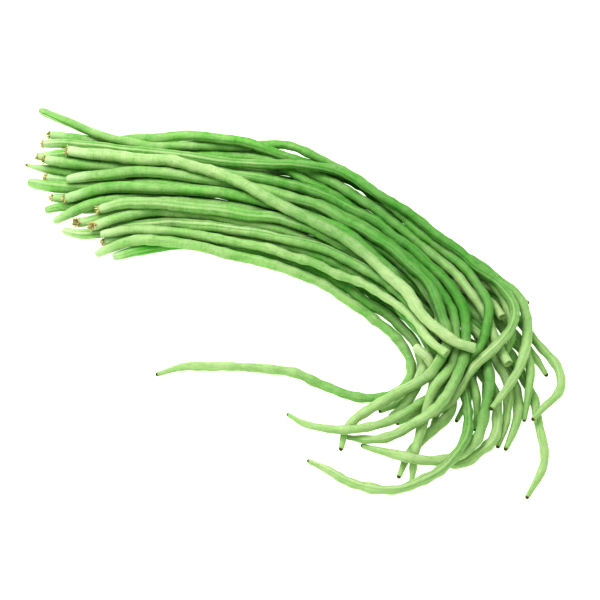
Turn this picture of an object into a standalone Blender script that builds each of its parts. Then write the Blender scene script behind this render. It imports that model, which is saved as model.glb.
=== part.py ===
"""A bunch of yardlong beans lying on a table: loose pods, stem ends together, bent into a hook.

Each pod is one solid. Its route is the way it lies, seen from above, with the layer of the heap that
it is in. The pods are then nested: pressed down on the table and pushed apart until they only touch.
Blender 4.5, metres, +Z up.
"""

import math

import bpy
import numpy as np

CM = 0.01
MM = 0.001

# Driving dimensions
SHOULDER_RADIUS = 4.2 * MM      # just behind the stem end
TAIL_RADIUS = 3.8 * MM          # where the taper to the tip begins
BEAK_RADIUS = 1.3 * MM          # the dried beak at the far end
SNAPPED_RADIUS = 3.9 * MM       # at the end of a pod with its tip broken off
TIP_TAPER = 40 * MM             # how far before the beak the taper begins
LAYER_BASE = 4.2 * MM           # height of the pods that lie on the table, at their axis
LAYER_HEIGHT = 7.8 * MM         # one layer of pods to the next
CLEARANCE = 0.3 * MM            # between neighbouring pods
LEAN = 0.5                      # how far a pod comes forward for each unit its neighbours raise it

SIDES = 8                       # of each pod's cross-section, one of them facing down
RING_STEP = 13 * MM             # between a pod's cross-sections along its middle
TIP_RING = 6 * MM               # from the last cross-section but one of a whole tip to its end
SNAP_RING = 4 * MM              # the same at a snapped tip
POLE = 0.4 * MM                 # how far the middle of an end stands out
FINE_STEPS = 24                 # points in each span of a route, before they are spaced evenly

# Nesting
END_DEPTH = 7 * MM              # a stem end is nested as thick as it is this far in
NEAR_MARGIN = 4 * MM            # how much further off than touching a neighbour still counts as near
NEAR_ROUNDS = 8                 # rounds between two searches for neighbours
PUSH = 1.3                      # share of an overlap that a round undoes; above 1 it settles sooner
TENSION = 0.35                  # share of a segment's stretch that each of its ends gives back

# How a pod begins: (distance from the end, radius). A crown is the dried calyx, a stalk is what is
# left of the thin pedicel, and a bare end has lost both.
STEMS = {
    "crown": [(0, 2.2 * MM), (2.5 * MM, 3.6 * MM), (7 * MM, 3.8 * MM), (20 * MM, SHOULDER_RADIUS)],
    "stalk": [(0, 1.1 * MM), (4 * MM, 1.7 * MM), (13 * MM, 3.0 * MM), (26 * MM, SHOULDER_RADIUS)],
    "bare": [(0, 1.6 * MM), (2.5 * MM, 2.6 * MM), (13 * MM, 3.9 * MM), (20 * MM, SHOULDER_RADIUS)],
    "snapped": [(0, 3.4 * MM), (2.5 * MM, 3.9 * MM), (7 * MM, 4.0 * MM), (20 * MM, 4.1 * MM)],
}

# How a whole tip tapers: (distance from the end as a share of TIP_TAPER, share of TAIL_RADIUS)
TIP = [(1, 1), (0.38, 0.84), (0.12, 0.58)]

# The pods that are thicker or thinner than the others
GIRTH = {
    "diagonal": 1.1, "long_pale": 1.1, "pale_end": 1.04, "sepal_crown": 1.08, "mid_crown": 1.04,
    "pale_slope": 1.03, "stray": 0.8, "crown_loop": 0.94, "far_top": 0.9, "knobbly": 0.95,
    "grey_tip": 0.9, "right_arc": 0.92, "dark_tail": 0.92, "lone_tail": 0.92, "deep_outer": 0.92,
    "deep_inner": 0.92, "under_loop": 0.95, "blunt_right": 0.9,
    "fan_outer": 0.9, "fan_inner": 0.9, "short_end": 0.95,
}

# How firmly the pods are held to their routes, how far they are pressed down each round, how much they
# resist bending, and for how many rounds
PHASES = [
    (0.06, 0.20 * MM, 0.20, 160),
    (0.04, 0.08 * MM, 0.20, 160),
    (0.01, 0.02 * MM, 0.15, 120),
    (0, 0, 0.04, 120),
    (0, 0, 0, 200),
]

# name, how it begins, how it ends, and its route from stem to tip as (x cm, y cm, layer)
PODS = [
    ("stray", "bare", "tip", [
        (-20.6, 17.0, 0.5), (-18.2, 15.7, 0.5), (-15.6, 14.2, 1), (-13.5, 13.3, 1), (-10, 13.0, 1),
        (-7.7, 13.1, 1), (-5.2, 13.0, 1), (-3.3, 13.0, 0.5), (-0.9, 13.0, 0.5), (0.8, 11.9, 0.5),
        (2.7, 10.7, 0.5), (4.6, 9.6, 0.5), (5.8, 8.2, 1.2), (7.0, 6.5, 2.2), (8.5, 5.0, 2.2),
        (10.2, 3.5, 2.2), (11.2, 2.8, 2.2), (12.1, 1.9, 2.2), (12.8, 1.0, 2.2), (13.4, 0.1, 2),
        (13.7, -1.0, 2), (13.6, -2.1, 2), (13.3, -3.3, 2), (12.7, -4.4, 2), (12.2, -4.9, 1),
        (10.7, -6.1, 0.5), (8.8, -7.3, 0.5), (7.2, -8.8, 1), (5.6, -9.7, 1), (4.0, -10.2, 1),
        (2.1, -10.1, 0.5), (0.7, -9.7, 0.5), (-0.5, -9.1, 0), (-1.1, -8.6, 0)]),
    ("far_top", "crown", "tip", [
        (-19.7, 14.5, 1), (-16.2, 13.8, 1), (-14.4, 13.6, 0.5), (-12.3, 13.6, 0.5), (-10, 13.6, 0.5),
        (-7.7, 13.7, 0.5), (-4.6, 13.2, 1), (-3.2, 13.0, 1.5), (-1.5, 12.3, 1), (1.5, 11.4, 0),
        (2.9, 10.6, 0), (4.6, 9.1, 0), (7.2, 6.8, 0), (9.1, 4.9, 0), (10.9, 3.2, 0), (12.7, 0.9, 0),
        (13.7, -0.2, 0), (15.0, -1.5, 0), (16.4, -3.7, 0), (17.2, -4.6, 0), (17.8, -5.8, 0)]),
    ("crown_loop", "crown", "tip", [
        (-20.2, 13.6, 1), (-18.0, 13.3, 1), (-15.7, 13.0, 1), (-13.8, 12.7, 1), (-10, 12.4, 1),
        (-7, 11.8, 1), (-3.5, 11.4, 1), (-0.5, 11.1, 1.8), (2.1, 11.0, 2), (3.2, 10.6, 2), (4.1, 9.7, 2),
        (5.6, 8.8, 1.5), (6.9, 7.6, 0.5), (8.3, 6.2, 0.3), (10.1, 4.7, 0.3), (11.9, 3.0, 0.3),
        (14.0, 1.1, 0.6), (15.2, -0.2, 1), (15.6, -1.6, 1.5), (15.2, -2.8, 2), (14.4, -3.6, 2),
        (13.6, -4.5, 2.5), (12.8, -5.1, 2), (12.1, -5.7, 1.5), (11.5, -6.6, 1), (11.2, -7.8, 1),
        (10.5, -8.4, 0.5), (9.6, -8.9, 0)]),
    ("diagonal", "crown", "snapped", [
        (-17.9, 12.4, 2), (-13.7, 11.6, 2), (-9.9, 11.0, 2), (-6.9, 10.1, 2.5), (-4.1, 8.7, 2.5),
        (-2.2, 7.5, 3), (-0.7, 6.6, 3), (0.7, 5.8, 3), (2.1, 5.1, 3), (3.3, 4.2, 3), (4.3, 3.3, 3),
        (5.7, 1.8, 3), (7.2, 0.0, 3), (8.5, -1.9, 3), (9.4, -3.3, 3), (10.0, -4.1, 3), (10.9, -4.7, 3),
        (12.3, -4.8, 3)]),
    ("twin_upper", "crown", "tip", [
        (-20.4, 12.7, 0.3), (-14.9, 12.1, 0.5), (-10.7, 11.8, 0.5), (-6.9, 11.1, 1), (-4.6, 10.6, 1),
        (-1.8, 10.1, 1), (0.8, 9.4, 1), (2.2, 8.8, 1), (3.5, 7.8, 1.5), (4.9, 6.9, 1.5), (6.4, 5.6, 1.5),
        (7.7, 4.3, 1.8), (8.6, 3.3, 2), (9.6, 2.3, 2), (10.2, 1.7, 2), (10.7, 0.8, 2), (11.4, -0.4, 2),
        (11.7, -1.6, 2), (11.8, -2.7, 1.5), (11.8, -3.7, 1), (11.7, -4.7, 1), (11.4, -6.0, 1),
        (10.5, -7.2, 1), (9.4, -8.6, 1.5), (7.7, -10.0, 1), (5.6, -10.7, 0.3), (3.8, -10.6, 0),
        (2.8, -10.3, 0)]),
    ("upright_tip", "crown", "tip", [
        (-19.7, 12.0, 1), (-16.6, 11.5, 0.8), (-13.4, 11.1, 1), (-9.2, 10.5, 1), (-5.7, 9.8, 1),
        (-2.9, 9.3, 1), (-1.1, 9.0, 1), (0.5, 8.5, 1), (2.2, 7.8, 1), (3.5, 7.0, 1), (4.9, 6.1, 1),
        (5.9, 5.3, 1), (7.1, 3.8, 1), (8.6, 2.2, 1), (9.9, 0.7, 1.5), (10.7, -0.7, 1.5), (11.0, -2.0, 1.5),
        (11.0, -3.4, 1.5), (10.5, -5.3, 1), (9.8, -6.3, 1), (9.2, -7.5, 1), (8.7, -8.5, 0.5),
        (8.3, -9.8, 0.5), (7.9, -10.8, 0), (7.6, -11.8, 0), (7.7, -12.9, 0), (7.7, -14.0, 0)]),
    ("grey_tip", "crown", "tip", [
        (-18.3, 13.2, 0), (-13, 13.0, 0), (-8.3, 13.3, 0), (-4.7, 13.0, 0.2), (-3.3, 12.6, 0.3),
        (-0.5, 11.2, 0.5), (1.4, 10.0, 0.8), (3.1, 8.9, 1), (6.0, 6.9, 0.7), (8.4, 4.7, 0.4),
        (10.4, 2.9, 0.2), (12.4, 1.7, 0), (14, 1.0, 0), (15.5, 0.6, 0), (17.0, 0.1, 0)]),
    ("pale_end", "bare", "tip", [
        (-17.7, 9.9, 1.5), (-14.5, 10.4, 1.2), (-10, 10.5, 1), (-7.6, 10.1, 1), (-4.5, 9.5, 1),
        (-1.3, 8.6, 1), (1.5, 7.5, 1.3), (3.1, 6.1, 1.5), (4.8, 5.1, 1.5), (5.9, 4.2, 1.5), (7.3, 2.9, 1.5),
        (8.7, 1.3, 1.5), (9.7, -0.5, 1.5), (10.3, -2.2, 1.5), (10.5, -3.8, 1.5), (10.2, -5.2, 1),
        (9.4, -6.3, 0.5), (7.3, -7.3, 0.5), (5.6, -8.0, 1), (4.3, -8.9, 1), (3.3, -9.5, 0.5),
        (2.9, -10.2, 0), (2.9, -11.3, 0)]),
    ("long_pale", "bare", "tip", [
        (-20.7, 10.8, 1), (-19.3, 10.2, 1), (-17.7, 9.7, 1), (-16.1, 9.5, 1), (-14.4, 9.7, 1),
        (-12.5, 9.9, 1), (-9.9, 9.9, 1), (-7.6, 9.6, 1), (-4.5, 8.8, 1), (-0.7, 7.4, 1), (3.0, 5.5, 0.8),
        (5.5, 3.9, 0.6), (7.7, 2.4, 0.5), (9.1, 0.6, 0.5), (9.8, -1.4, 0.5), (9.9, -3.4, 0.5),
        (9.3, -5.0, 0.5), (8.6, -6.2, 0.5), (7.5, -8.0, 0.2), (6.2, -9.0, 0)]),
    ("sepal_crown", "crown", "tip", [
        (-17.9, 8.5, 1), (-16, 8.8, 1), (-14.3, 9.0, 1), (-12.1, 9.1, 1.5), (-10, 9.1, 1.5), (-7.6, 9.1, 1),
        (-5.1, 8.8, 1), (-1.1, 7.5, 1), (2.6, 5.8, 1), (5.9, 3.3, 0.8), (7.9, 0.9, 0.6), (9.0, -1.4, 0.3),
        (9.3, -3.3, 0), (9.3, -5.2, 0), (9.2, -7.1, 0), (8.5, -8.5, 0), (6.7, -9.5, 0)]),
    ("low_star", "crown", "tip", [
        (-17.0, 7.1, 1.4), (-16.2, 7.1, 1.0), (-13.8, 7.5, 0.7), (-11.9, 8.2, 1.1), (-10, 8.5, 1.2),
        (-7.5, 8.4, 1), (-5.0, 8.1, 1), (-2.2, 7.5, 1), (0.4, 6.5, 1), (3.0, 5.1, 0.6), (6.6, 2.3, 0.3),
        (9.8, -0.6, 0), (12.2, -3.2, 0), (13.9, -5.6, 0), (14.7, -7.4, 0.3), (14.6, -9.0, 0.3),
        (14.1, -10.1, 0), (13.5, -11.3, 0)]),
    ("mid_crown", "crown", "tip", [
        (-15.2, 7.3, 2.1), (-14.2, 7.5, 2.0), (-13.3, 7.6, 1.8), (-11.8, 7.5, 1.6), (-9.7, 7.4, 1.4),
        (-7.5, 7.4, 1), (-4.5, 7.1, 1), (-0.7, 6.7, 1), (1.5, 5.9, 1), (3.0, 5.2, 1), (4.3, 4.2, 1),
        (5.0, 3.4, 0.8), (7.3, 1.4, 0.4), (9.8, -1.1, 0), (11.8, -3.6, 0), (13.5, -5.9, 0),
        (14.2, -8.3, 0.4), (14.1, -9.8, 0.4), (13.5, -11.0, 0.3), (12.7, -11.8, 0), (11.5, -12.4, 0),
        (9.7, -12.5, 0)]),
    ("lowest_sweep", "bare", "tip", [
        (-17.8, 6.1, 0.6), (-17.0, 5.6, 0.7), (-15.1, 5.6, 1), (-13.8, 6.1, 1), (-11.9, 6.5, 1),
        (-9.7, 6.5, 1), (-7.5, 6.3, 1), (-4.5, 5.8, 1), (-0.7, 5.2, 1), (0.8, 4.8, 1), (2.2, 4.5, 1),
        (3.5, 3.9, 1), (4.4, 3.3, 1), (5.2, 2.8, 1), (7.0, 1.3, 0.8), (8.7, -0.6, 0.5), (10.1, -2.9, 0.3),
        (10.9, -5.1, 0.3), (11.3, -7.0, 0.5), (11.8, -8.7, 1), (11.7, -10.1, 1), (11.2, -11.5, 0.8),
        (10.3, -12.6, 0.5), (8.7, -13.7, 0.3), (7.0, -14.4, 0), (5.5, -14.5, 0), (3.9, -14.0, 0),
        (2.4, -13.2, 0), (1.3, -12.6, 0), (0.3, -12.1, 0)]),
    ("knobbly", "bare", "snapped", [
        (-14.9, 5.7, 1.3), (-13.4, 5.9, 1), (-11.8, 6.0, 1), (-9.7, 5.9, 1), (-7.5, 5.5, 1), (-4.5, 4.8, 1),
        (-2.8, 4.4, 1), (-1.1, 3.9, 1), (0.2, 3.4, 1), (1.5, 2.8, 1), (2.8, 2.0, 1), (4.8, 1.2, 1),
        (6.1, 0.0, 1.5), (7.2, -0.8, 1.8), (7.9, -1.5, 2), (8.8, -2.8, 2), (9.4, -3.6, 2), (9.9, -4.5, 2),
        (10.7, -5.1, 2)]),
    ("inner_loop", "bare", "tip", [
        (-15.0, 4.1, 0.5), (-14.5, 4.5, 0.6), (-13.6, 5.0, 1), (-11.9, 5.2, 1), (-10.8, 5.2, 1),
        (-9.7, 5.1, 0.8), (-7.4, 4.7, 0.5), (-4.4, 4.0, 0), (-2.4, 3.6, 0), (-0.4, 3.0, 0), (1.5, 2.3, 0),
        (3.0, 1.7, 0), (4.3, 0.9, 0), (5.3, -0.1, 0), (6.1, -1.3, 0), (7.2, -2.4, 0), (8.0, -3.5, 0),
        (8.4, -4.6, 0), (8.5, -5.7, 0), (8.2, -6.8, 0), (7.3, -7.4, 0), (6.1, -7.6, 0), (5.1, -7.4, 0),
        (4.3, -7.4, 0), (3.2, -7.0, 0), (1.9, -6.4, 0), (0, -5.7, 0), (-1.8, -5.3, 0), (-3.5, -5.1, 0),
        (-5.1, -5.1, 0), (-6.8, -4.9, 0), (-7.8, -4.9, 0), (-8.9, -5.3, 0), (-10.2, -5.6, 0)]),
    ("under_inner", "bare", "tip", [
        (-13.8, 4.1, 0), (-13.2, 4.4, 0), (-12.4, 4.7, 0), (-11.4, 5.0, 0), (-9.3, 5.4, 0), (-6, 5.1, 0),
        (-2, 4.3, 0), (1.5, 3.1, 0), (4, 1.8, 0), (6.7, -0.2, 0), (7.6, -1.2, 0), (8.1, -2.0, 0),
        (8.9, -3.1, 0), (9.2, -4.4, 0), (8.9, -5.8, 0), (8.5, -6.7, 0), (7.2, -7.8, 0), (5.9, -8.4, 0)]),
    ("broad_middle", "crown", "tip", [
        (-14.8, 5.3, 0), (-12, 6.0, 0), (-7.5, 6.0, 0), (-3.7, 5.3, 0), (-0.2, 4.4, 0.3), (1.5, 3.9, 0.4),
        (2.8, 3.4, 0.5), (4.3, 2.5, 0.7), (5.7, 1.6, 1), (6.8, 0.9, 1), (7.6, 0.0, 1), (8.1, -0.9, 1),
        (8.8, -1.7, 1), (9.4, -2.4, 1), (9.9, -3.2, 1), (10.4, -4.1, 1), (10.6, -5.6, 0.7),
        (11.0, -7.3, 0.3), (10.9, -8.5, 0.3), (9.6, -10.1, 0), (8.7, -11.0, 0), (7.9, -12.2, 0),
        (6.9, -13.5, 0)]),
    ("star_crown", "crown", "tip", [
        (-15.3, 5.6, 2.2), (-14.6, 6.0, 1.8), (-13.2, 6.8, 1), (-11.8, 7.2, 0.4), (-10.5, 7.3, 0),
        (-8, 7.2, 0), (-4, 6.5, 0), (0, 5.5, 0), (4, 3.4, 0), (8, 0.6, 0), (10.6, -1.8, 0),
        (12.3, -3.4, 0.2), (13.0, -4.7, 0.4), (13.4, -5.8, 0.5), (13.5, -6.8, 0.5), (13.2, -8.0, 0.5),
        (12.9, -9.0, 0.5), (12.7, -10.6, 0.5), (11.8, -11.8, 0.3), (10.3, -12.2, 0.3), (8.6, -12.4, 1),
        (7.1, -11.9, 0.5), (5.6, -11.3, 0), (4.0, -10.8, 0)]),
    ("pale_slope", "bare", "tip", [
        (-18.7, 6.8, 0.5), (-17.8, 7.2, 0.5), (-16.4, 7.8, 0.4), (-15.1, 8.4, 0.2), (-13.8, 8.8, 0),
        (-11, 8.9, 0), (-7, 8.6, 0), (-3, 7.7, 0), (1, 6.4, 0), (5, 4.3, 0), (9, 1.6, 0), (12, -1.2, 0),
        (13.7, -3.0, 0), (14.9, -5.0, 0), (15.3, -7.2, 0), (15.3, -9.0, 0), (14.9, -10.3, 0),
        (14.3, -11.6, 0)]),
    ("grey_stalk", "stalk", "tip", [
        (-21.3, 11.9, 0.6), (-19.6, 11.4, 0.6), (-16, 11.2, 0.2), (-12, 11.3, 0), (-7, 11.3, 0),
        (-3, 11.0, 0), (1, 9.9, 0), (5, 7.8, 0), (9, 5.1, 0), (12, 2.9, 0), (13.8, 1.8, 0),
        (15.3, 0.6, 0.2), (16.1, -0.4, 0.3), (16.3, -1.5, 0.3), (16.3, -2.7, 0.6), (16.0, -3.9, 1),
        (15.5, -5.4, 1.5), (14.8, -6.5, 1.5), (14.1, -7.6, 1.5), (13.4, -8.5, 1.5), (13.0, -8.8, 1.3)]),
    ("right_arc", "crown", "tip", [
        (-19.7, 10.5, 0), (-16, 10.2, 0), (-12, 10.4, 0), (-7, 10.4, 0), (-3, 10.1, 0), (1, 9.1, 0),
        (5, 7.0, 0), (9, 4.2, 0), (12.3, 1.6, 0), (14.2, -0.4, 0), (15.5, -1.7, 0), (16.6, -3.0, 0),
        (17.3, -3.8, 0), (18.3, -4.7, 0), (18.8, -5.9, 0), (18.7, -7.1, 0), (17.6, -7.9, 0),
        (16.6, -8.7, 0), (16.0, -9.4, 0)]),
    ("dark_tail", "crown", "tip", [
        (-19.0, 9.7, 0), (-16, 9.3, 0), (-12, 9.6, 0), (-7, 9.5, 0), (-3, 9.2, 0), (1, 8.2, 0), (5, 6.2, 0),
        (9, 3.4, 0), (12, 0.9, 0), (14, -1.2, 0), (15.2, -2.6, 0.3), (16.2, -4.3, 0.5), (16.5, -5.4, 0.8),
        (16.4, -6.9, 0.8), (16.1, -8.5, 0.3), (15.8, -9.3, 0)]),
    ("lone_tail", "bare", "tip", [
        (-19.2, 8.1, 0), (-18.3, 8.7, 0), (-16, 8.6, 0), (-12, 8.1, 0), (-7, 7.8, 0), (-3, 7.0, 0),
        (1, 5.6, 0), (5, 3.5, 0), (9, 0.8, 0), (12, -1.9, 0), (14.4, -3.9, 0), (15.6, -5.3, 0),
        (16.2, -6.7, 0), (16.5, -8.2, 0), (16.8, -9.2, 0), (17.0, -10.5, 0), (17.1, -11.9, 0),
        (16.5, -13.6, 0), (15.6, -15.1, 0)]),
    ("under_loop", "crown", "snapped", [
        (-17.8, 12.3, 0), (-12, 12.2, 0), (-7, 12.1, 0), (-3, 11.7, 0), (1, 10.7, 0.3), (4, 8.8, 0.5),
        (7, 6.2, 0.5), (10, 3.8, 0.7), (12, 1.6, 1), (13.3, -0.6, 1), (14.0, -2.6, 1), (14.3, -4.0, 1),
        (14.9, -5.3, 1)]),
    ("short_end", "snapped", "tip", [
        (8.7, -4.3, 1.4), (9.2, -4.5, 1.3), (9.9, -4.9, 1), (10.5, -5.5, 0.6), (10.9, -6.3, 0.2),
        (11.0, -7.4, 0), (10.5, -8.6, 0), (9.9, -9.6, 0)]),
    ("deep_outer", "crown", "tip", [
        (-12.2, 13.1, 0), (-9, 13.3, 0), (-7, 13.2, 0), (-3, 12.6, 0), (1, 11.0, 0), (4.6, 8.4, 0),
        (7.6, 5.7, 0), (10.3, 3.0, 0), (12.9, 1.4, 0.6), (14.6, -0.4, 1), (15.0, -2.2, 1), (14.7, -3.8, 1),
        (14.1, -5.0, 0.5)]),
    ("deep_inner", "bare", "tip", [
        (-14.2, 6.7, 0), (-11, 6.9, 0), (-7, 6.8, 0), (-3, 6.2, 0), (1, 4.8, 0), (4.8, 2.5, 0),
        (7.6, 0.0, 0), (9.6, -2.4, 0), (10.9, -4.6, 0), (12.2, -6.6, 0), (12.8, -8.4, 0),
        (12.3, -10.0, 0)]),
    ("blunt_right", "bare", "snapped", [
        (0.8, 6.6, 0), (4.5, 4.8, 0), (8.2, 3.1, 0), (10.7, 2.1, 0), (12.4, 1.2, 0.4), (13.5, 0.6, 0.9),
        (14.2, -0.1, 1.2), (14.8, -0.7, 1.2), (15.0, -1.5, 1.2)]),
    ("fan_outer", "bare", "tip", [
        (2.0, 6.9, 0), (3.8, 6.0, 0), (7.5, 3.7, 0), (10.0, 1.8, 0), (11.6, 0.1, 0), (12.7, -1.9, 0),
        (13.2, -4.0, 0), (13.3, -6.0, 0), (12.9, -7.6, 0), (12.2, -8.7, 0)]),
    ("fan_inner", "bare", "tip", [
        (3.2, 4.2, 0), (4.5, 3.4, 0), (7.4, 1.2, 0), (9.4, -0.8, 0), (10.7, -2.9, 0), (11.5, -4.8, 0),
        (11.8, -6.7, 0), (11.5, -8.2, 0), (10.9, -9.4, 0)]),
]


def smooth_route(points, step):
    """Points about one step apart along a smooth curve through the route's own points."""
    knots = np.concatenate([[0], np.cumsum(np.linalg.norm(np.diff(points, axis=0), axis=1))])
    slopes = np.gradient(points, knots, axis=0)
    fine = []
    for k in range(len(points) - 1):
        span = knots[k + 1] - knots[k]
        t = np.linspace(0, 1, FINE_STEPS, endpoint=False)[:, None]
        fine.append(
            (2 * t**3 - 3 * t**2 + 1) * points[k] + (t**3 - 2 * t**2 + t) * span * slopes[k]
            + (3 * t**2 - 2 * t**3) * points[k + 1] + (t**3 - t**2) * span * slopes[k + 1])
    fine = np.concatenate([*fine, points[-1:]])
    length = np.concatenate([[0], np.cumsum(np.linalg.norm(np.diff(fine, axis=0), axis=1))])
    count = round(length[-1] / step) + 1
    wanted = np.linspace(0, length[-1], count)
    return np.stack([np.interp(wanted, length, fine[:, axis]) for axis in range(3)], axis=1)


def radius_along(distance, length, begins, ends, girth):
    """A pod's radius at a distance from its stem end."""
    profile = list(STEMS[begins])
    if ends == "tip":
        profile += [(length - share * TIP_TAPER, width * TAIL_RADIUS) for share, width in TIP]
        profile += [(length, BEAK_RADIUS)]
    else:
        profile += [(length - SNAP_RING, SNAPPED_RADIUS), (length, 0.86 * SNAPPED_RADIUS)]
    return girth * np.interp(distance, [p[0] for p in profile], [p[1] for p in profile])


class Heap:
    """Every pod's points in one set of arrays, so that they can be nested together."""

    def __init__(self, pods):
        lines, radii = [], []
        self.spans = {}
        start = 0
        for name, begins, ends, route in pods:
            route = np.asarray(route, float)
            heights = LAYER_BASE + route[:, 2] * LAYER_HEIGHT
            line = smooth_route(np.column_stack([route[:, :2] * CM, heights]), RING_STEP)
            line[1:-1] = (line[:-2] + 2 * line[1:-1] + line[2:]) / 4
            spacing = np.linalg.norm(line[1] - line[0])
            along = spacing * np.arange(len(line))
            lines.append(line)
            girth = GIRTH.get(name, 1)
            radii.append(radius_along(np.maximum(along, END_DEPTH), along[-1], begins, ends, girth))
            self.spans[name] = slice(start, start + len(line))
            start += len(line)
        self.points = np.concatenate(lines)
        self.target = self.points.copy()
        self.radii = np.concatenate(radii)
        self.floor = self.radii * math.cos(math.pi / SIDES)
        inner = [np.arange(s.start, s.stop) for s in self.spans.values()]
        self.first = np.concatenate([i[:-1] for i in inner])
        self.middle = np.concatenate([i[1:-1] for i in inner])
        self.pod_of = np.concatenate([np.full(len(i) - 1, k) for k, i in enumerate(inner)])
        self.rest_length = np.linalg.norm(self.points[self.first + 1] - self.points[self.first], axis=1)
        self.rest_bend = self.bend_of(self.points)
        self.rest_bend[:, 2] = 0

    def bend_of(self, points):
        return points[self.middle - 1] - 2 * points[self.middle] + points[self.middle + 1]

    def near_pairs(self):
        """Pairs of segments of different pods that are close enough to meet."""
        middles = (self.points[self.first] + self.points[self.first + 1]) / 2
        reach = RING_STEP + 2 * SHOULDER_RADIUS + NEAR_MARGIN
        gap2 = np.zeros((len(middles), len(middles)), np.float32)
        for axis in range(3):
            column = middles[:, axis].astype(np.float32)
            gap2 += (column[:, None] - column[None, :]) ** 2
        a, b = np.nonzero(np.triu(gap2 < reach * reach, 1))
        apart = self.pod_of[a] != self.pod_of[b]
        return self.first[a[apart]], self.first[b[apart]]

    def contacts(self, a, b):
        """Where each pair of segments is closest: shares along both, the way apart and the overlap."""
        p, q = self.points[a], self.points[b]
        u, v = self.points[a + 1] - p, self.points[b + 1] - q
        w = p - q
        uu, vv, uv = (u * u).sum(1), (v * v).sum(1), (u * v).sum(1)
        uw, vw = (u * w).sum(1), (v * w).sum(1)
        s = np.clip((uv * vw - vv * uw) / np.maximum(uu * vv - uv * uv, 1e-12), 0, 1)
        t = np.clip((uv * s + vw) / vv, 0, 1)
        s = np.clip((uv * t - uw) / uu, 0, 1)
        way = w + s[:, None] * u - t[:, None] * v
        far = np.linalg.norm(way, axis=1)
        ra = self.radii[a] * (1 - s) + self.radii[a + 1] * s
        rb = self.radii[b] * (1 - t) + self.radii[b + 1] * t
        return s, t, way / np.maximum(far, 1e-9)[:, None], ra + rb + CLEARANCE - far

    def push_apart(self, a, b):
        s, t, way, overlap = self.contacts(a, b)
        meet = overlap > 0
        a, b, s, t, way, overlap = a[meet], b[meet], s[meet], t[meet], way[meet], overlap[meet]
        move = np.zeros_like(self.points)
        count = np.zeros(len(self.points))
        spread = (1 - s) ** 2 + s**2 + (1 - t) ** 2 + t**2
        step = way * (overlap / spread)[:, None]
        for index, share in ((a, 1 - s), (a + 1, s), (b, t - 1), (b + 1, -t)):
            np.add.at(move, index, step * share[:, None])
            np.add.at(count, index, np.abs(share))
        self.points += move / np.maximum(count, 1)[:, None] * PUSH

    def keep_lengths(self):
        ends = self.points[self.first + 1] - self.points[self.first]
        far = np.linalg.norm(ends, axis=1)
        fix = ends * ((far - self.rest_length) / far * TENSION)[:, None]
        np.add.at(self.points, self.first, fix)
        np.add.at(self.points, self.first + 1, -fix)

    def nest(self):
        """Press the pods down, then let go of their routes, then only push apart what still meets."""
        for hold, press, supple, rounds in PHASES:
            for turn in range(rounds):
                if turn % NEAR_ROUNDS == 0:
                    a, b = self.near_pairs()
                self.points[:, 2] -= press
                away = self.target - self.points
                away[:, 1] += LEAN * away[:, 2]
                self.points[:, :2] += hold * away[:, :2]
                self.points[self.middle] += supple * (self.bend_of(self.points) - self.rest_bend)
                if supple:
                    self.keep_lengths()
                self.push_apart(a, b)
                self.points[:, 2] = np.maximum(self.points[:, 2], self.floor)


def pod_rings(points, begins, ends, girth):
    """The cross-sections of a pod: the points it was nested with, and a few more close to its ends."""
    spacing = np.linalg.norm(points[1] - points[0])
    last = np.linalg.norm(points[-1] - points[-2])
    starts = [p[0] / spacing for p in STEMS[begins] if p[0] < 0.8 * spacing]
    tail = [1 - (SNAP_RING if ends == "snapped" else TIP_RING) / last, 1]
    inner = range(1, len(points) - 1)
    where = np.array([*starts, *inner, *[len(points) - 2 + t for t in tail]])
    centres = np.stack([np.interp(where, np.arange(len(points)), points[:, a]) for a in range(3)], axis=1)
    along = np.interp(where, np.arange(len(points)), arc_lengths(points))
    return centres, radius_along(along, along[-1], begins, ends, girth)


def arc_lengths(points):
    return np.concatenate([[0], np.cumsum(np.linalg.norm(np.diff(points, axis=0), axis=1))])


def pod_mesh(name, centres, radii):
    """A closed tube of upright cross-sections, each with a flat side down, and a low point at each end."""
    ahead = np.gradient(centres, axis=0)
    ahead[:, 2] = 0
    ahead /= np.linalg.norm(ahead, axis=1)[:, None]
    side = np.stack([ahead[:, 1], -ahead[:, 0], np.zeros(len(ahead))], axis=1)
    turns = (np.arange(SIDES) + 0.5) * 2 * math.pi / SIDES
    vertices = [tuple(centres[0] - POLE * ahead[0])]
    for centre, across, radius in zip(centres, side, radii):
        for turn in turns:
            out = across * math.sin(turn) - np.array([0, 0, math.cos(turn)])
            vertices.append(tuple(centre + radius * out))
    vertices.append(tuple(centres[-1] + POLE * ahead[-1]))
    end = len(vertices) - 1
    faces = []
    for k in range(SIDES):
        n = (k + 1) % SIDES
        faces.append((0, 1 + k, 1 + n))
        for ring in range(len(centres) - 1):
            a = 1 + ring * SIDES
            faces.append((a + k, a + SIDES + k, a + SIDES + n, a + n))
        faces.append((end, end - SIDES + n, end - SIDES + k))
    mesh = bpy.data.meshes.new(name)
    mesh.from_pydata(vertices, [], faces)
    mesh.validate()
    return mesh


def pod_material(name, index):
    """Fresh bean green, a little paler or darker from pod to pod."""
    shade = (index * 0.618) % 1
    pale, deep = np.array([0.42, 0.60, 0.20]), np.array([0.22, 0.42, 0.09])
    colour = deep + (pale - deep) * shade
    material = bpy.data.materials.new(name + "_skin")
    material.use_nodes = True
    principled = material.node_tree.nodes["Principled BSDF"]
    principled.inputs["Base Color"].default_value = (*colour, 1)
    principled.inputs["Roughness"].default_value = 0.5
    return material


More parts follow.
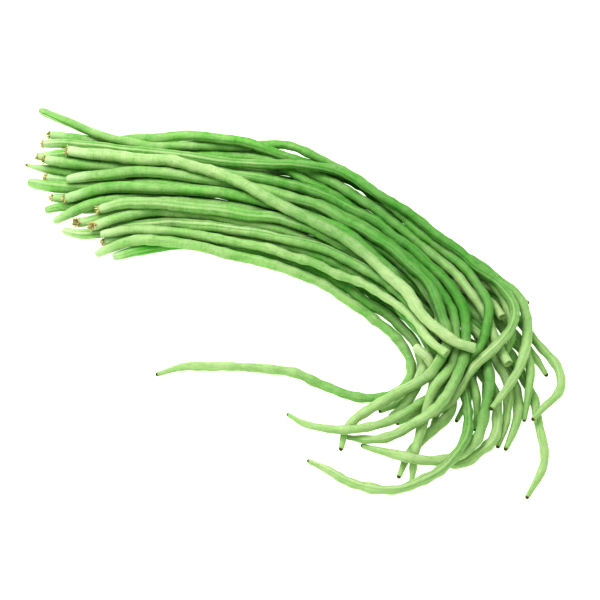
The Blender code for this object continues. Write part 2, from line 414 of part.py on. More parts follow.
def main():
    for item in list(bpy.data.objects):
        bpy.data.objects.remove(item, do_unlink=True)
    heap = Heap(PODS)
    heap.nest()
    built = []
    for name, begins, ends, _ in PODS:
        built.append((name, *pod_rings(heap.points[heap.spans[name]], begins, ends, GIRTH.get(name, 1))))
    meshes = [pod_mesh(*pod) for pod in built]
    corners = np.array([v.co for mesh in meshes for v in mesh.vertices])
    low, high = corners.min(axis=0), corners.max(axis=0)
    shift = [-(low[0] + high[0]) / 2, -(low[1] + high[1]) / 2, -low[2]]
    for index, mesh in enumerate(meshes):
        for vertex in mesh.vertices:
            vertex.co.x += shift[0]
            vertex.co.y += shift[1]
            vertex.co.z += shift[2]
        pod = bpy.data.objects.new(mesh.name, mesh)
        mesh.materials.append(pod_material(mesh.name, index))
        bpy.context.scene.collection.objects.link(pod)


main()
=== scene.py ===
"""The looks of the yardlong bean bunch: every pod's skin, its stem end and its tip, the floor and light.

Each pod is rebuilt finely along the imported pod's own axis, so it lies just where the solid lies.
"""

import math

import bpy
import numpy as np
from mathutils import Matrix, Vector


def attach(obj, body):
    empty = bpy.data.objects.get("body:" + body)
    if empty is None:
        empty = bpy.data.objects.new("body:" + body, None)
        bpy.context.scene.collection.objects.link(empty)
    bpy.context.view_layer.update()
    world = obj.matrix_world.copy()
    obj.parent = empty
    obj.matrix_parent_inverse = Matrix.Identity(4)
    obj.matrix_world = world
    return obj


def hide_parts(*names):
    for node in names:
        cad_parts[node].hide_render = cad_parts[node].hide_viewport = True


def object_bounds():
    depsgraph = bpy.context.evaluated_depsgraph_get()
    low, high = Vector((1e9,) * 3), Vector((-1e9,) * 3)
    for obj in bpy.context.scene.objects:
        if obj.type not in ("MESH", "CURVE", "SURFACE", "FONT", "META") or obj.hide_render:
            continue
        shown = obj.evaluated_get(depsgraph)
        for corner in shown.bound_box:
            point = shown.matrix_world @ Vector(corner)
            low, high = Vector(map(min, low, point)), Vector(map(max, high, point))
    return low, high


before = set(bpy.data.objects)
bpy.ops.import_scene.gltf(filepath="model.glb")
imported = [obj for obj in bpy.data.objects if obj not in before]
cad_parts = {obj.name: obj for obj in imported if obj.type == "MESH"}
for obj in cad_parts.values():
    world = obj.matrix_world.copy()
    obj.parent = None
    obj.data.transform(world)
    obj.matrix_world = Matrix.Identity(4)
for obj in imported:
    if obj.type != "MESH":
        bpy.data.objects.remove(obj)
cad_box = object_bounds()

MM = 0.001
RING_GAP = 1.3 * MM             # between the fine rings of a pod
SIDES = 40                      # points in a fine ring
USUAL_RADIUS = 4.2 * MM         # of the pod that the profiles of the ends are drawn for
SWAY_WAVELENGTH = 17 * MM       # over which a pod's middle line sways from side to side
HELD_LENGTH = 30 * MM           # at each end, over which the sway grows from nothing
GROOVE_ANGLE = 0.42             # radians from the seam to the groove on each side of it

# How the pods begin and end. Those not named here have a bare blunt stem end and a whole tip.
CROWNED = (
    "far_top", "crown_loop", "diagonal", "twin_upper", "upright_tip", "grey_tip", "sepal_crown", "mid_crown",
    "low_star", "broad_middle", "star_crown", "right_arc", "dark_tail", "under_loop", "deep_outer",
)
STALKED = ("grey_stalk",)
TURNED_UP = ("low_star", "star_crown")
UP_AND_FORWARD = (-0.2, -0.4, 0.9)      # the way a turned-up stem end faces
TURN_STEPS = 6                  # how many millimetres of a pod the turn takes
SNAPPED = ("diagonal", "knobbly", "under_loop", "blunt_right")
BROKEN_AT_STEM = ("short_end",)

# The looks that differ from pod to pod. How lumpy it is, 1 being usual:
LUMPS = {"knobbly": 1.9, "inner_loop": 1.7, "diagonal": 1.2, "long_pale": 0.7, "lowest_sweep": 1.2}
# how many times as thick as the solid, to close a sliver of light between two pods:
FULLER = {"far_top": 1.12, "stray": 1.1}
# how clearly the seam stands out, 0.6 being usual:
SEAMS = {"stray": 1.5, "crown_loop": 1.0, "lowest_sweep": 0.9, "upright_tip": 0.8, "grey_stalk": 0.8}
# how slender a bare stem end is, 0.8 being usual:
TAPER = {"pale_end": 0.7, "stray": 0.5, "pale_slope": 1.3, "lowest_sweep": 1.0, "long_pale": 0.6}
# how white the stem end is, 0.45 being usual, and lower where a stem end lies in shade under other pods, a
# painted shade:
WHITE_END = {"stray": 0.1, "deep_outer": 0.1, "deep_inner": 0.1, "long_pale": 0.3, "lone_tail": 0.1}
# how much painted shade deepens the green towards the crowded bend of the bunch, 0.55 being usual:
FAR_SHADE = {"inner_loop": 0.22, "lowest_sweep": 0.4, "stray": 0.4}
# and how pale the whole pod is, from 0 for deep green to 1 for the palest: partly each pod's own tone,
# partly painted shade, as the pods that lie deep in the heap are given low values
PALE = {
    "stray": 0.5, "far_top": 0.3, "crown_loop": 0.5, "diagonal": 0.95, "twin_upper": 0.45,
    "upright_tip": 0.5, "grey_tip": 0.25, "pale_end": 0.6, "long_pale": 0.45, "sepal_crown": 0.35,
    "mid_crown": 0.55, "low_star": 0.55, "lowest_sweep": 0.7, "knobbly": 0.7, "inner_loop": 0.6,
    "under_inner": 0.1, "broad_middle": 0.4, "star_crown": 0.6, "pale_slope": 0.45, "grey_stalk": 0.45,
    "right_arc": 0.4, "dark_tail": 0.1, "lone_tail": 0.45, "under_loop": 0.5, "short_end": 0.8,
    "deep_outer": 0.1, "deep_inner": 0.1, "blunt_right": 0.7, "fan_outer": 0.15, "fan_inner": 0.1,
}


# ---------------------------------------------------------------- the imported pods' axes

def packed_axis(node):
    """Centres and radii of a packed pod's cross-sections, from its stem end to its tip.

    The solid is a tube of rings with one point in the middle of each end, and these two points have
    the most neighbours. Counting steps along edges from one of them reaches one ring after another.
    Where the solid has a point fewer, a step reaches into the next ring, so the radii are measured
    square to the axis.
    """
    mesh = node.data
    corners = np.array([v.co for v in mesh.vertices])
    keys, index = np.unique(np.round(corners / (0.01 * MM)), axis=0, return_inverse=True)
    index = index.reshape(-1)
    points = np.zeros((len(keys), 3))
    points[index] = corners
    near = [set() for _ in points]
    for edge in mesh.edges:
        a, b = index[edge.vertices[0]], index[edge.vertices[1]]
        if a != b:
            near[a].add(b)
            near[b].add(a)
    one_end = max(range(len(near)), key=lambda k: len(near[k]))
    level = steps_from(near, one_end)
    rings = [points[level == k] for k in range(1, level.max())]
    centres = np.array([ring.mean(axis=0) for ring in rings])
    ahead = np.gradient(centres, axis=0)
    ahead /= np.linalg.norm(ahead, axis=1)[:, None]
    radii = np.array([
        np.median(np.linalg.norm(np.cross(ring - c, way), axis=1))
        for ring, c, way in zip(rings, centres, ahead)])
    if centres[0][0] > centres[-1][0]:
        centres, radii = centres[::-1], radii[::-1]
    return centres, radii


def steps_from(near, start):
    level = np.full(len(near), -1)
    level[start] = 0
    edge = [start]
    while edge:
        ahead = []
        for a in edge:
            for b in near[a]:
                if level[b] < 0:
                    level[b] = level[a] + 1
                    ahead.append(b)
        edge = ahead
    return level


# ---------------------------------------------------------------- a pod's fine shape

def smooth_through(knots, values, wanted):
    """A natural cubic spline through values at the knots, read at the wanted places."""
    gap = np.diff(knots)
    slope = np.diff(values, axis=0) / gap[:, None]
    system = np.eye(len(knots))
    bend = np.zeros_like(values)
    for k in range(1, len(knots) - 1):
        system[k, k - 1:k + 2] = gap[k - 1], 2 * (gap[k - 1] + gap[k]), gap[k]
        bend[k] = 6 * (slope[k] - slope[k - 1])
    second = np.linalg.solve(system, bend)
    k = np.clip(np.searchsorted(knots, wanted) - 1, 0, len(gap) - 1)
    ahead = (wanted - knots[k])[:, None]
    behind = (knots[k + 1] - wanted)[:, None]
    h = gap[k][:, None]
    return (
        (second[k] * behind**3 + second[k + 1] * ahead**3) / (6 * h)
        + (values[k] / h - second[k] * h / 6) * behind
        + (values[k + 1] / h - second[k + 1] * h / 6) * ahead)


def distances(points):
    """How far along the line through the points each of them is."""
    return np.concatenate([[0], np.cumsum(np.linalg.norm(np.diff(points, axis=0), axis=1))])


def carried_frames(centres):
    """Two directions across the pod at each centre, carried along it without turning about it."""
    ahead = np.gradient(centres, axis=0)
    ahead /= np.linalg.norm(ahead, axis=1)[:, None]
    across = np.zeros_like(centres)
    across[0] = np.cross(ahead[0], [0, 0, 1])
    for k in range(1, len(centres)):
        across[k] = across[k - 1] - ahead[k] * (across[k - 1] @ ahead[k])
    across /= np.linalg.norm(across, axis=1)[:, None]
    return across, np.cross(across, ahead)


def turned_up(line, gap):
    """The line with its first points curving from its own way to face up and forward."""
    rest = line[TURN_STEPS:]
    back = (rest[0] - rest[1]) / np.linalg.norm(rest[0] - rest[1])
    turn = [rest[0]]
    for share in np.linspace(0.2, 1, TURN_STEPS):
        way = back * (1 - share) + np.array(UP_AND_FORWARD) * share
        turn.append(turn[-1] + way / np.linalg.norm(way) * gap)
    return np.concatenate([turn[:0:-1], rest])


def wander(rng, along, wavelength):
    """A smooth value between about -1 and 1 that changes over the wavelength."""
    count = int(along[-1] / wavelength) + 4
    marks = rng.uniform(-1, 1, count)
    knots = np.linspace(-wavelength, along[-1] + wavelength, count)
    return smooth_through(knots, marks[:, None], along)[:, 0]


def swellings(rng, along, length):
    """Where the seeds push the wall out: 1 at a seed and 0 between two."""
    bumps = np.zeros_like(along)
    place = rng.uniform(14, 24) * MM
    while place < length - 12 * MM:
        width = rng.uniform(3.6, 5.6) * MM
        bumps += rng.uniform(0.35, 1.0) * np.exp(-((along - place) / width) ** 2)
        place += rng.uniform(9, 17) * MM
    return np.minimum(bumps, 1.1)


def dents(rng, along, angle):
    """Shallow hollows and bulges all over the wall, as shares of the radius, at most about 1."""
    depth = np.zeros((len(along), len(angle)))
    for fold, wavelength in ((1, 11), (1, 21), (2, 10), (3, 7)):
        for shift in (0, math.pi / 2):
            strength = wander(rng, along, wavelength * MM)
            depth += 0.3 * strength[:, None] * np.cos(fold * angle[None, :] + shift)
    return depth


# The profile of each kind of end, from its very middle outwards and then along the pod: distance
# from the end and radius in millimetres, and how dry it is (0 green, 1 brown)
CROWN = [
    (0.5, 0.0, 0.4), (0.2, 0.7, 0.5), (0.3, 1.1, 0.9), (1.0, 1.3, 0.8), (1.4, 1.9, 0.7),
    (1.7, 2.6, 0.3), (2.3, 3.15, 0.1), (3.6, 3.5, 0.0), (8.0, 3.85, 0.0),
]
STALK = [
    (0.2, 0.0, 1.0), (0.0, 0.6, 1.0), (0.2, 1.0, 1.0), (1.5, 1.2, 0.9), (3.0, 1.4, 0.4),
    (6.0, 1.9, 0.1), (10.0, 2.5, 0.0), (14.0, 3.0, 0.0),
]
BARE = [
    (0.8, 0.0, 0.3), (0.5, 0.8, 0.3), (0.15, 1.3, 0.2), (0.05, 1.8, 0.1), (0.3, 2.2, 0.0),
    (1.2, 2.65, 0.0), (3.0, 3.05, 0.0), (6.0, 3.4, 0.0), (10.0, 3.75, 0.0), (14.0, 4.0, 0.0),
]
SCARRED = [
    (0.9, 0.0, 0.5), (0.6, 0.7, 0.6), (0.25, 1.1, 0.2), (0.0, 1.9, 0.0), (0.2, 2.6, 0.0),
    (0.9, 3.2, 0.0), (2.0, 3.6, 0.0), (4.0, 3.85, 0.0),
]
BROKEN = [
    (1.6, 0.0, 0.0), (1.5, 0.8, 0.0), (1.7, 1.5, 0.0), (1.1, 2.1, 0.05), (0.3, 2.9, 0.05),
    (0.0, 3.3, 0.1), (0.3, 3.55, 0.0), (1.0, 3.7, 0.0),
]
BEAK = [
    (0.1, 0.0, 1.0), (0.0, 0.7, 1.0), (0.25, 1.1, 1.0), (0.9, 1.45, 0.9), (1.8, 1.75, 0.3),
    (3.5, 2.1, 0.0),
]


def end_profile(kind, girth, stretch=1.0):
    """The profile in metres, for a pod so many times the usual thickness."""
    return [(s * MM * stretch, r * MM * girth, dry) for s, r, dry in kind]


def pod_profile(name, length, knots, radii):
    """The rings along the pod, as (distance from the stem end, radius, dryness), ends included.

    How many of them belong to the tip's end comes with them.
    """
    girth = radii[: len(radii) // 2].max() / USUAL_RADIUS
    first = CROWN if name in CROWNED else STALK if name in STALKED else BARE
    if name in BROKEN_AT_STEM:
        first = SCARRED
    last = BROKEN if name in SNAPPED else BEAK
    start = end_profile(first, girth, TAPER.get(name, 0.8) if first is BARE else 1.0)
    finish = [(length - s, r, dry) for s, r, dry in reversed(end_profile(last, girth))]
    steps = int((finish[0][0] - start[-1][0]) / RING_GAP)
    middle = np.linspace(start[-1][0], finish[0][0], steps + 1)[1:-1]
    size = np.interp(middle, knots, radii)
    blend_in = np.clip((middle - start[-1][0]) / (8 * MM), 0, 1)
    blend_out = np.clip((finish[0][0] - middle) / (5 * MM), 0, 1)
    size = start[-1][1] + (size - start[-1][1]) * np.sin(blend_in * math.pi / 2)
    size = finish[0][1] + (size - finish[0][1]) * np.sin(blend_out * math.pi / 2)
    rings = [*start, *zip(middle, size, np.zeros(len(middle))), *finish]
    return np.array(rings), len(finish)


def tube_faces(rings, sides):
    """Quads between rings, and a fan to the middle point of each end."""
    faces = []
    end = 1 + rings * sides
    for k in range(sides):
        n = (k + 1) % sides
        faces.append((0, 1 + n, 1 + k))
        faces.append((end, end - sides + k, end - sides + n))
    for ring in range(rings - 1):
        a = 1 + ring * sides
        for k in range(sides):
            n = (k + 1) % sides
            faces.append((a + k, a + n, a + sides + n, a + sides + k))
    return faces


class Skin:
    """Points and faces gathered for one pod, with what its material needs to know at each point.

    These marks are the millimetres from the stem end and from the tip, the angle from the seam, how
    dry the skin is, how far a seed swells it, and how light a scale of the calyx is.
    """

    def __init__(self):
        self.points, self.faces = [], []
        self.marks = {"stem": [], "tip": [], "seam": [], "dry": [], "swell": [], "tone": []}
        self.count = 0

    def add(self, points, faces, **marks):
        self.faces += [tuple(self.count + i for i in face) for face in faces]
        self.points.append(points)
        self.count += len(points)
        for key, store in self.marks.items():
            store.append(np.broadcast_to(marks.get(key, 0.0), len(points)))

    def object(self, name, material):
        """One object of it all, kept inside the box of the solids."""
        mesh = bpy.data.meshes.new(name)
        points = np.clip(np.concatenate(self.points), cad_box[0], cad_box[1])
        mesh.from_pydata(points.tolist(), [], self.faces)
        for key, store in self.marks.items():
            layer = mesh.attributes.new(key, "FLOAT", "POINT")
            layer.data.foreach_set("value", np.concatenate(store).astype(np.float32))
        mesh.shade_smooth()
        mesh.materials.append(material)
        made = bpy.data.objects.new(name, mesh)
        bpy.context.scene.collection.objects.link(made)
        return made


# The rows of scales of a calyx: how many, how far out they start, the least and the most they reach
# out, and how far they rise past the neck, in millimetres
SEPAL_ROWS = [(10, 1.9, 1.6, 3.1, 1.8), (9, 1.1, 1.1, 2.4, 3.3), (6, 0.2, 0.6, 1.3, 3.5)]
NECK = 1.5 * MM                 # how far along the pod the calyx stands
SCALE_RINGS = 6                 # along a scale
SCALE_SIDES = 6                 # of a scale's cross-section


def add_sepals(skin, rng, centre, back, across, up):
    """The dried ragged calyx: scales standing round the neck of the pod and flaring outwards.

    back points out of the pod's stem end; across and up are square to it.
    """
    for count, start, low, high, rise in SEPAL_ROWS:
        for k in range(count):
            turn = 2 * math.pi * (k + rng.uniform(-0.35, 0.35)) / count
            out = across * math.cos(turn) + up * math.sin(turn)
            wide = np.cross(back, out)
            reach = rng.uniform(low, high) * MM
            height = rise * rng.uniform(0.3, 1.3) * MM
            half = rng.uniform(0.55, 1.0) * MM
            rings = []
            for step in range(SCALE_RINGS):
                share = step / (SCALE_RINGS - 1)
                place = centre + out * (start * MM + reach * share) + back * height * share**1.4
                place = place + wide * rng.uniform(-0.25, 0.25) * MM
                width = half * (1 - share**2) * rng.uniform(0.7, 1.15) + 0.15 * MM
                thick = 0.35 * MM * (1 - 0.5 * share)
                for corner in range(SCALE_SIDES):
                    a = 2 * corner * math.pi / SCALE_SIDES
                    rings.append(place + wide * width * math.cos(a) + back * thick * math.sin(a))
            root = np.mean(rings[:SCALE_SIDES], axis=0)
            point = np.mean(rings[-SCALE_SIDES:], axis=0)
            skin.add(
                np.array([root, *rings, point]), tube_faces(SCALE_RINGS, SCALE_SIDES),
                dry=1.0, stem=4.0, tip=300.0, tone=rng.uniform(0, 1))


def swaying_line(name, rng, centres, knots):
    """The pod's middle line at every millimetre, and how far along it each point is.

    It sways not at all at the ends, and more and more from 100 to 300 mm, where the bunch is loose.
    """
    line = smooth_through(knots, centres, np.linspace(0, knots[-1], int(knots[-1] / MM)))
    if name in TURNED_UP:
        line = turned_up(line, MM)
    steps = distances(line)
    loose = np.clip(steps / (200 * MM) - 0.5, 0, 1)
    free = np.clip(np.minimum(steps, steps[-1] - steps) / HELD_LENGTH, 0, 1) * (0.6 + 0.5 * loose)
    for axis in range(3):
        line[:, axis] += free * MM * wander(rng, steps, SWAY_WAVELENGTH)
    return line, steps


def wall_shape(name, rng, inside, steps, angle):
    """The wall's distance from the middle line, as a share of the radius, at each ring and angle.

    inside says how far along the pod each ring is. How far each ring is swollen by a seed, and the
    angle of each point from the seam, come with it.
    """
    length = steps[-1]
    whole_tail = np.clip((steps / length - 0.45) / 0.4, 0, 1) * (name not in SNAPPED)
    tail = np.interp(inside, steps, whole_tail)[:, None]
    far = np.clip((inside - 120 * MM) / (120 * MM), 0, 1)[:, None]
    body = np.clip((inside - 4 * MM) / (8 * MM), 0, 1) * np.clip((length - inside - 2 * MM) / (8 * MM), 0, 1)
    body = body[:, None]

    order = np.argsort(inside, kind="stable")
    swell, slow, oval, turn = (np.zeros((len(inside), 1)) for _ in range(4))
    swell[order, 0] = swellings(rng, inside[order], length)
    slow[order, 0] = wander(rng, inside[order], 35 * MM)
    oval[order, 0] = wander(rng, inside[order], 60 * MM)
    turn[order, 0] = wander(rng, inside[order], 120 * MM)
    seam_at = rng.uniform(0, 2 * math.pi) + 1.1 * turn
    hollow = np.zeros((len(inside), len(angle)))
    hollow[order] = dents(rng, inside[order], angle)

    seam = (angle[None, :] - seam_at + math.pi) % (2 * math.pi) - math.pi
    flat = np.cos(2 * seam)
    ridge = np.exp(-((seam / 0.16) ** 2)) - np.exp(-(((np.abs(seam) - GROOVE_ANGLE) / 0.18) ** 2))
    back_groove = np.exp(-(((math.pi - np.abs(seam)) / 0.2) ** 2))
    lumps, seams = LUMPS.get(name, 1.0), SEAMS.get(name, 0.6)
    between_seeds = lumps * (0.12 + 0.13 * far + 0.03 * tail) * (1 - swell) * (0.8 - 0.2 * flat)
    shape = 1.04 + 0.05 * far - between_seeds
    shape += body * (0.02 * slow - (0.025 + 0.02 * oval) * flat)
    shape += body * seams * (0.035 * ridge - 0.025 * back_groove)
    shape += body * lumps * (0.05 + 0.04 * tail) * hollow
    shape = 1 + (shape - 1) * np.clip(body + 0.25, 0, 1)
    return shape, swell[:, 0], seam


def per_point(values):
    """One value a ring spread over the points of a skin: one at each end, SIDES at each ring between."""
    return np.concatenate([[values[0]], np.repeat(values[1:-1], SIDES), [values[-1]]])


def build_pod(node, index):
    name = node.name
    rng = np.random.default_rng(100 + index)
    centres, radii = packed_axis(node)
    radii = radii * FULLER.get(name, 1.0)
    knots = distances(centres)
    line, steps = swaying_line(name, rng, centres, knots)
    across_line, up_line = carried_frames(line)
    length = steps[-1]

    profile, finish_rings = pod_profile(name, length, knots, radii)
    along, size, dry = profile.T
    inside = np.clip(along, 0, length)
    places, across, up = (
        np.stack([np.interp(inside, steps, values[:, axis]) for axis in range(3)], axis=1)
        for values in (line, across_line, up_line))

    angle = np.arange(SIDES) * 2 * math.pi / SIDES
    shape, swell, seam = wall_shape(name, rng, inside, steps, angle)
    ragged = 0.5 * MM * np.sin(3 * angle + rng.uniform(0, 6)) * rng.uniform(0.5, 1, SIDES)
    out = across[:, None, :] * np.cos(angle)[None, :, None] + up[:, None, :] * np.sin(angle)[None, :, None]
    points = places[:, None, :] + out * (size[:, None] * shape)[:, :, None]
    if name in SNAPPED:
        ahead = np.cross(up[-1], across[-1])
        rim = np.linspace(0.2, 1, finish_rings)[:, None, None] * (size[-finish_rings:, None, None] > MM)
        points[-finish_rings:] -= ahead * ragged[None, :, None] * rim
    first, last = points[0].mean(axis=0), points[-1].mean(axis=0)

    # the rings turn left-handed about the pod, so the faces are turned over to look outwards
    faces = [face[::-1] for face in tube_faces(len(along) - 2, SIDES)]
    skin = Skin()
    skin.add(
        np.concatenate([[first], points[1:-1].reshape(-1, 3), [last]]), faces,
        stem=per_point(inside) / MM, tip=per_point(length - inside) / MM, dry=per_point(dry),
        swell=per_point(swell), seam=np.concatenate([[0], seam[1:-1].reshape(-1), [0]]))
    if name in CROWNED:
        neck = places[np.argmin(np.abs(inside - NECK))]
        add_sepals(skin, rng, neck, np.cross(across[0], up[0]), across[0], up[0])
    piece = skin.object(name + "_pod", pod_material(name, index))
    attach(piece, "root")
    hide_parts(name)


# ---------------------------------------------------------------- materials

DEEP_GREEN = (0.006, 0.175, 0.003)
FRESH_GREEN = (0.115, 0.425, 0.035)
PALE_GREEN = (0.53, 0.58, 0.37)
WHITISH = (0.67, 0.72, 0.53)
HUSK = (0.80, 0.68, 0.38)
DARK_HUSK = (0.10, 0.06, 0.015)
TIP_BROWN = (0.085, 0.06, 0.035)


class Nodes:
    """Short ways to add nodes to one material. A value that is a socket is linked, any other is set."""

    def __init__(self, name):
        self.material = bpy.data.materials.new(name)
        self.material.use_nodes = True
        self.tree = self.material.node_tree
        self.skin = self.tree.nodes["Principled BSDF"]

    def put(self, socket, value):
        if isinstance(value, bpy.types.NodeSocket):
            self.tree.links.new(value, socket)
        elif hasattr(value, "__len__") and len(value) == 3 and len(socket.default_value) == 4:
            socket.default_value = (*value, 1)
        else:
            socket.default_value = value

    def mark(self, name):
        node = self.tree.nodes.new("ShaderNodeAttribute")
        node.attribute_name = name
        return node.outputs["Fac"]

    def math(self, operation, a, b=0.0):
        node = self.tree.nodes.new("ShaderNodeMath")
        node.operation = operation
        self.put(node.inputs[0], a)
        self.put(node.inputs[1], b)
        return node.outputs[0]

    def ramp(self, value, low, high, to_low=0.0, to_high=1.0):
        node = self.tree.nodes.new("ShaderNodeMapRange")
        node.interpolation_type = "SMOOTHSTEP"
        for socket, given in zip(node.inputs, (value, low, high, to_low, to_high)):
            self.put(socket, given)
        return node.outputs[0]

    def noise(self, place, scale, detail=3.0, roughness=0.5):
        node = self.tree.nodes.new("ShaderNodeTexNoise")
        self.put(node.inputs["Vector"], place)
        self.put(node.inputs["Scale"], scale)
        self.put(node.inputs["Detail"], detail)
        self.put(node.inputs["Roughness"], roughness)
        return node.outputs["Fac"]

    def mix(self, share, a, b):
        node = self.tree.nodes.new("ShaderNodeMix")
        node.data_type = "RGBA"
        self.put(node.inputs[0], share)
        self.put(node.inputs[6], a)
        self.put(node.inputs[7], b)
        return node.outputs[2]

    def vector(self, x, y, z):
        node = self.tree.nodes.new("ShaderNodeCombineXYZ")
        for socket, value in zip(node.inputs, (x, y, z)):
            self.put(socket, value)
        return node.outputs[0]


def pod_material(name, index):
    """Bean skin: green that changes along and around the pod, fibres along it, and dry ends."""
    n = Nodes(name + "_look")
    place = n.tree.nodes.new("ShaderNodeTexCoord").outputs["Object"]
    stem, tip, seam, dry, swell, tone = (
        n.mark(key) for key in ("stem", "tip", "seam", "dry", "swell", "tone"))
    seams = SEAMS.get(name, 0.6)

    # places on the pod's own skin, so that fibres and bands run along it and wrinkles round it
    round_x, round_y = n.math("COSINE", seam), n.math("SINE", seam)
    fibre_place = n.vector(n.math("ADD", n.math("MULTIPLY", stem, 0.035), index * 7.3), round_x, round_y)
    fibres = n.noise(fibre_place, 5.0, 4.0, 0.6)
    bands_place = n.vector(n.math("MULTIPLY", stem, 0.02), round_x, round_y)
    bands = n.noise(bands_place, 1.6, 2.0)
    wrinkle_place = n.vector(
        n.math("ADD", n.math("MULTIPLY", stem, 0.55), index * 3.1), n.math("MULTIPLY", round_x, 0.3),
        n.math("MULTIPLY", round_y, 0.3))
    wrinkles = n.noise(wrinkle_place, 1.6, 3.0, 0.6)
    patches = n.noise(place, 60.0, 3.0)
    mottle = n.noise(place, 300.0, 3.0, 0.6)
    grain = n.noise(place, 900.0, 2.0)
    specks = n.noise(place, 420.0, 1.0)

    # the wall: green in long bands and patches, with mottling, fibres and wrinkles over it
    green = n.mix(n.ramp(bands, 0.3, 0.7, 0.5, 1.0), DEEP_GREEN, FRESH_GREEN)
    # the pod's paleness, which holds painted shade for the pods deep in the heap
    lift = n.math("ADD", n.ramp(patches, 0.3, 0.75, 0.0, 0.3), 0.65 * PALE[name] - 0.1)
    colour = n.mix(lift, green, PALE_GREEN)
    colour = n.mix(n.ramp(mottle, 0.45, 0.75, 0.0, 0.16), colour, PALE_GREEN)
    colour = n.mix(n.ramp(mottle, 0.5, 0.25, 0.0, 0.15), colour, DEEP_GREEN)
    colour = n.mix(n.ramp(fibres, 0.45, 0.75, 0.0, 0.14), colour, PALE_GREEN)
    dark_fibres = n.math("MULTIPLY", n.ramp(fibres, 0.54, 0.3), n.ramp(tip, 260.0, 90.0, 0.2, 0.5))
    colour = n.mix(dark_fibres, colour, DEEP_GREEN)
    colour = n.mix(n.ramp(wrinkles, 0.46, 0.3, 0.0, 0.22), colour, DEEP_GREEN)
    colour = n.mix(n.math("MULTIPLY", swell, 0.14), colour, PALE_GREEN)

    # the seam, paler, and the groove on each side of it, darkened as painted shade in the hollow
    off_seam = n.math("ABSOLUTE", seam)
    colour = n.mix(n.ramp(off_seam, 0.22, 0.08, 0.0, 0.4 * seams), colour, PALE_GREEN)
    off_groove = n.math("ABSOLUTE", n.math("SUBTRACT", off_seam, GROOVE_ANGLE))
    colour = n.mix(n.ramp(off_groove, 0.2, 0.04, 0.0, 0.45 * seams), colour, DEEP_GREEN)
    colour = n.mix(n.ramp(specks, 0.68, 0.76, 0.0, 0.1), colour, WHITISH)

    # along the pod: deeper green towards the bend, a painted shade for where the pods crowd together; paler
    # at the stem end and at the tail
    painted_bend_shade = n.ramp(stem, 90.0, 290.0, 0.0, FAR_SHADE.get(name, 0.55))
    colour = n.mix(n.math("MULTIPLY", painted_bend_shade, n.ramp(tip, 30.0, 170.0)), colour, DEEP_GREEN)
    # the white stem end, held back as painted shade where WHITE_END is low
    uneven_stem = n.math("ADD", stem, n.ramp(patches, 0.2, 0.8, -7.0, 7.0))
    colour = n.mix(n.ramp(uneven_stem, 22.0, 2.0, 0.0, WHITE_END.get(name, 0.45)), colour, WHITISH)
    colour = n.mix(n.ramp(tip, 150.0, 50.0, 0.0, 0.4), colour, PALE_GREEN)

    # the dried calyx, stub and beak
    husk_grain = n.ramp(n.noise(place, 900.0, 3.0), 0.35, 0.65, 0.0, 0.5)
    husk = n.mix(n.math("ADD", husk_grain, n.math("MULTIPLY", tone, 0.6)), DARK_HUSK, HUSK)
    husk = n.mix(n.ramp(tip, 5.0, 3.0), husk, TIP_BROWN)
    colour = n.mix(n.ramp(dry, 0.1, 0.85), colour, husk)
    n.put(n.skin.inputs["Base Color"], colour)

    rough = n.math("ADD", n.ramp(grain, 0.3, 0.7, 0.56, 0.68), n.math("MULTIPLY", dry, 0.3))
    n.put(n.skin.inputs["Roughness"], rough)
    n.put(n.skin.inputs["Specular IOR Level"], 0.36)
    n.put(n.skin.inputs["Specular Tint"], (0.8, 1.0, 0.7))
    n.put(n.skin.inputs["Coat Weight"], 0.05)
    n.put(n.skin.inputs["Coat Roughness"], 0.4)
    n.put(n.skin.inputs["Subsurface Weight"], 0.3)
    n.put(n.skin.inputs["Subsurface Radius"], (0.6, 1.0, 0.4))
    n.put(n.skin.inputs["Subsurface Scale"], 1.5 * MM)

    bump = n.tree.nodes.new("ShaderNodeBump")
    height = n.math("ADD", n.math("MULTIPLY", fibres, 1.4), n.math("MULTIPLY", grain, 0.3))
    height = n.math("ADD", height, n.math("MULTIPLY", wrinkles, 2.0))
    n.put(bump.inputs["Height"], height)
    n.put(bump.inputs["Strength"], 0.5)
    n.put(bump.inputs["Distance"], 0.6 * MM)
    n.put(n.skin.inputs["Normal"], bump.outputs["Normal"])
    return n.material


# ---------------------------------------------------------------- the floor, the light and the camera

AIM = (0.0114, -0.0121, 0.012)      # the place in the bunch that is in the middle of the picture
CAMERA_DISTANCE = 1.095
CAMERA_ELEVATION = math.radians(63)
LAMP_COLOUR = (1, 0.93, 1)          # so that the lit side isn't greener than the shade
SURROUND_COLOUR = (0.74, 1, 0.62)   # as light that has passed between green pods
SURROUND_STRENGTH = 0.52
FLOOR_COLOUR = (0.80, 0.95, 0.72)   # white in the picture, but green where it lights the pods
FLOOR_GLOW = 0.6                    # keeps the paper white where shadows fall
FLOOR_HALF = 4.0
FLOOR_DROP = 0.1 * MM               # below the lowest point of the pods


def look_at(item, target):
    item.rotation_euler = (item.location - target).to_track_quat("Z", "Y").to_euler()


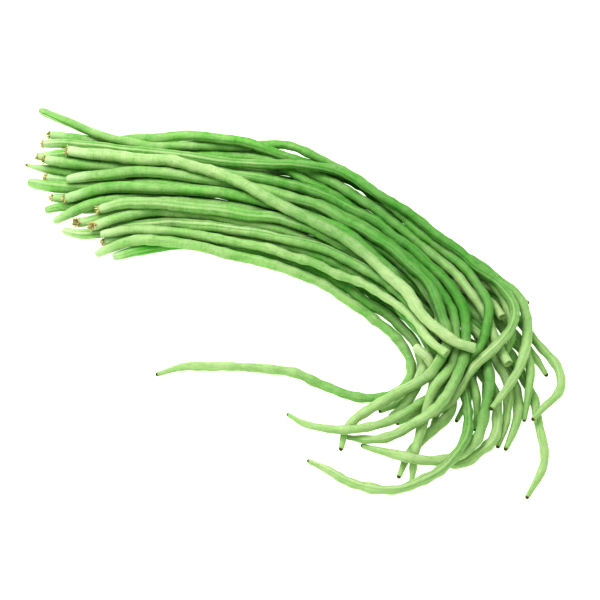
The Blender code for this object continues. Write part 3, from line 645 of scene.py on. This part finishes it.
def add_floor():
    signs = ((-1, -1), (1, -1), (1, 1), (-1, 1))
    corners = [(x * FLOOR_HALF, y * FLOOR_HALF, cad_box[0][2] - FLOOR_DROP) for x, y in signs]
    mesh = bpy.data.meshes.new("floor")
    mesh.from_pydata(corners, [], [(0, 1, 2, 3)])
    n = Nodes("floor_paper")
    n.put(n.skin.inputs["Base Color"], FLOOR_COLOUR)
    n.put(n.skin.inputs["Roughness"], 0.9)
    n.put(n.skin.inputs["Specular IOR Level"], 0.1)
    n.put(n.skin.inputs["Emission Color"], (1, 1, 1))
    n.put(n.skin.inputs["Emission Strength"], FLOOR_GLOW)
    mesh.materials.append(n.material)
    floor = bpy.data.objects.new("floor", mesh)
    bpy.context.scene.collection.objects.link(floor)


def add_light(name, place, size, power):
    light = bpy.data.lights.new(name, "AREA")
    light.color = LAMP_COLOUR
    light.size = size
    light.energy = power
    lamp = bpy.data.objects.new(name, light)
    lamp.location = place
    look_at(lamp, Vector(AIM))
    bpy.context.scene.collection.objects.link(lamp)


def add_camera():
    camera = bpy.data.cameras.new("camera")
    camera.lens = 90
    camera.sensor_width = 36
    eye = bpy.data.objects.new("camera", camera)
    back = Vector((0, -math.cos(CAMERA_ELEVATION), math.sin(CAMERA_ELEVATION)))
    eye.location = Vector(AIM) + back * CAMERA_DISTANCE
    look_at(eye, Vector(AIM))
    bpy.context.scene.collection.objects.link(eye)
    bpy.context.scene.camera = eye


def add_world():
    world = bpy.data.worlds.new("soft_surround")
    world.use_nodes = True
    background = world.node_tree.nodes["Background"]
    background.inputs["Color"].default_value = (*SURROUND_COLOUR, 1)
    background.inputs["Strength"].default_value = SURROUND_STRENGTH
    bpy.context.scene.world = world


add_floor()
add_world()
add_light("key", place=(-0.3, 0.32, 0.9), size=0.6, power=8)
add_light("overhead", place=(0.3, -0.3, 1.2), size=1.2, power=4)
add_camera()
bpy.context.scene.view_settings.view_transform = "Standard"
bpy.context.scene.view_settings.look = "High Contrast"

for index, (name, node) in enumerate(sorted(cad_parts.items())):
    build_pod(node, index)
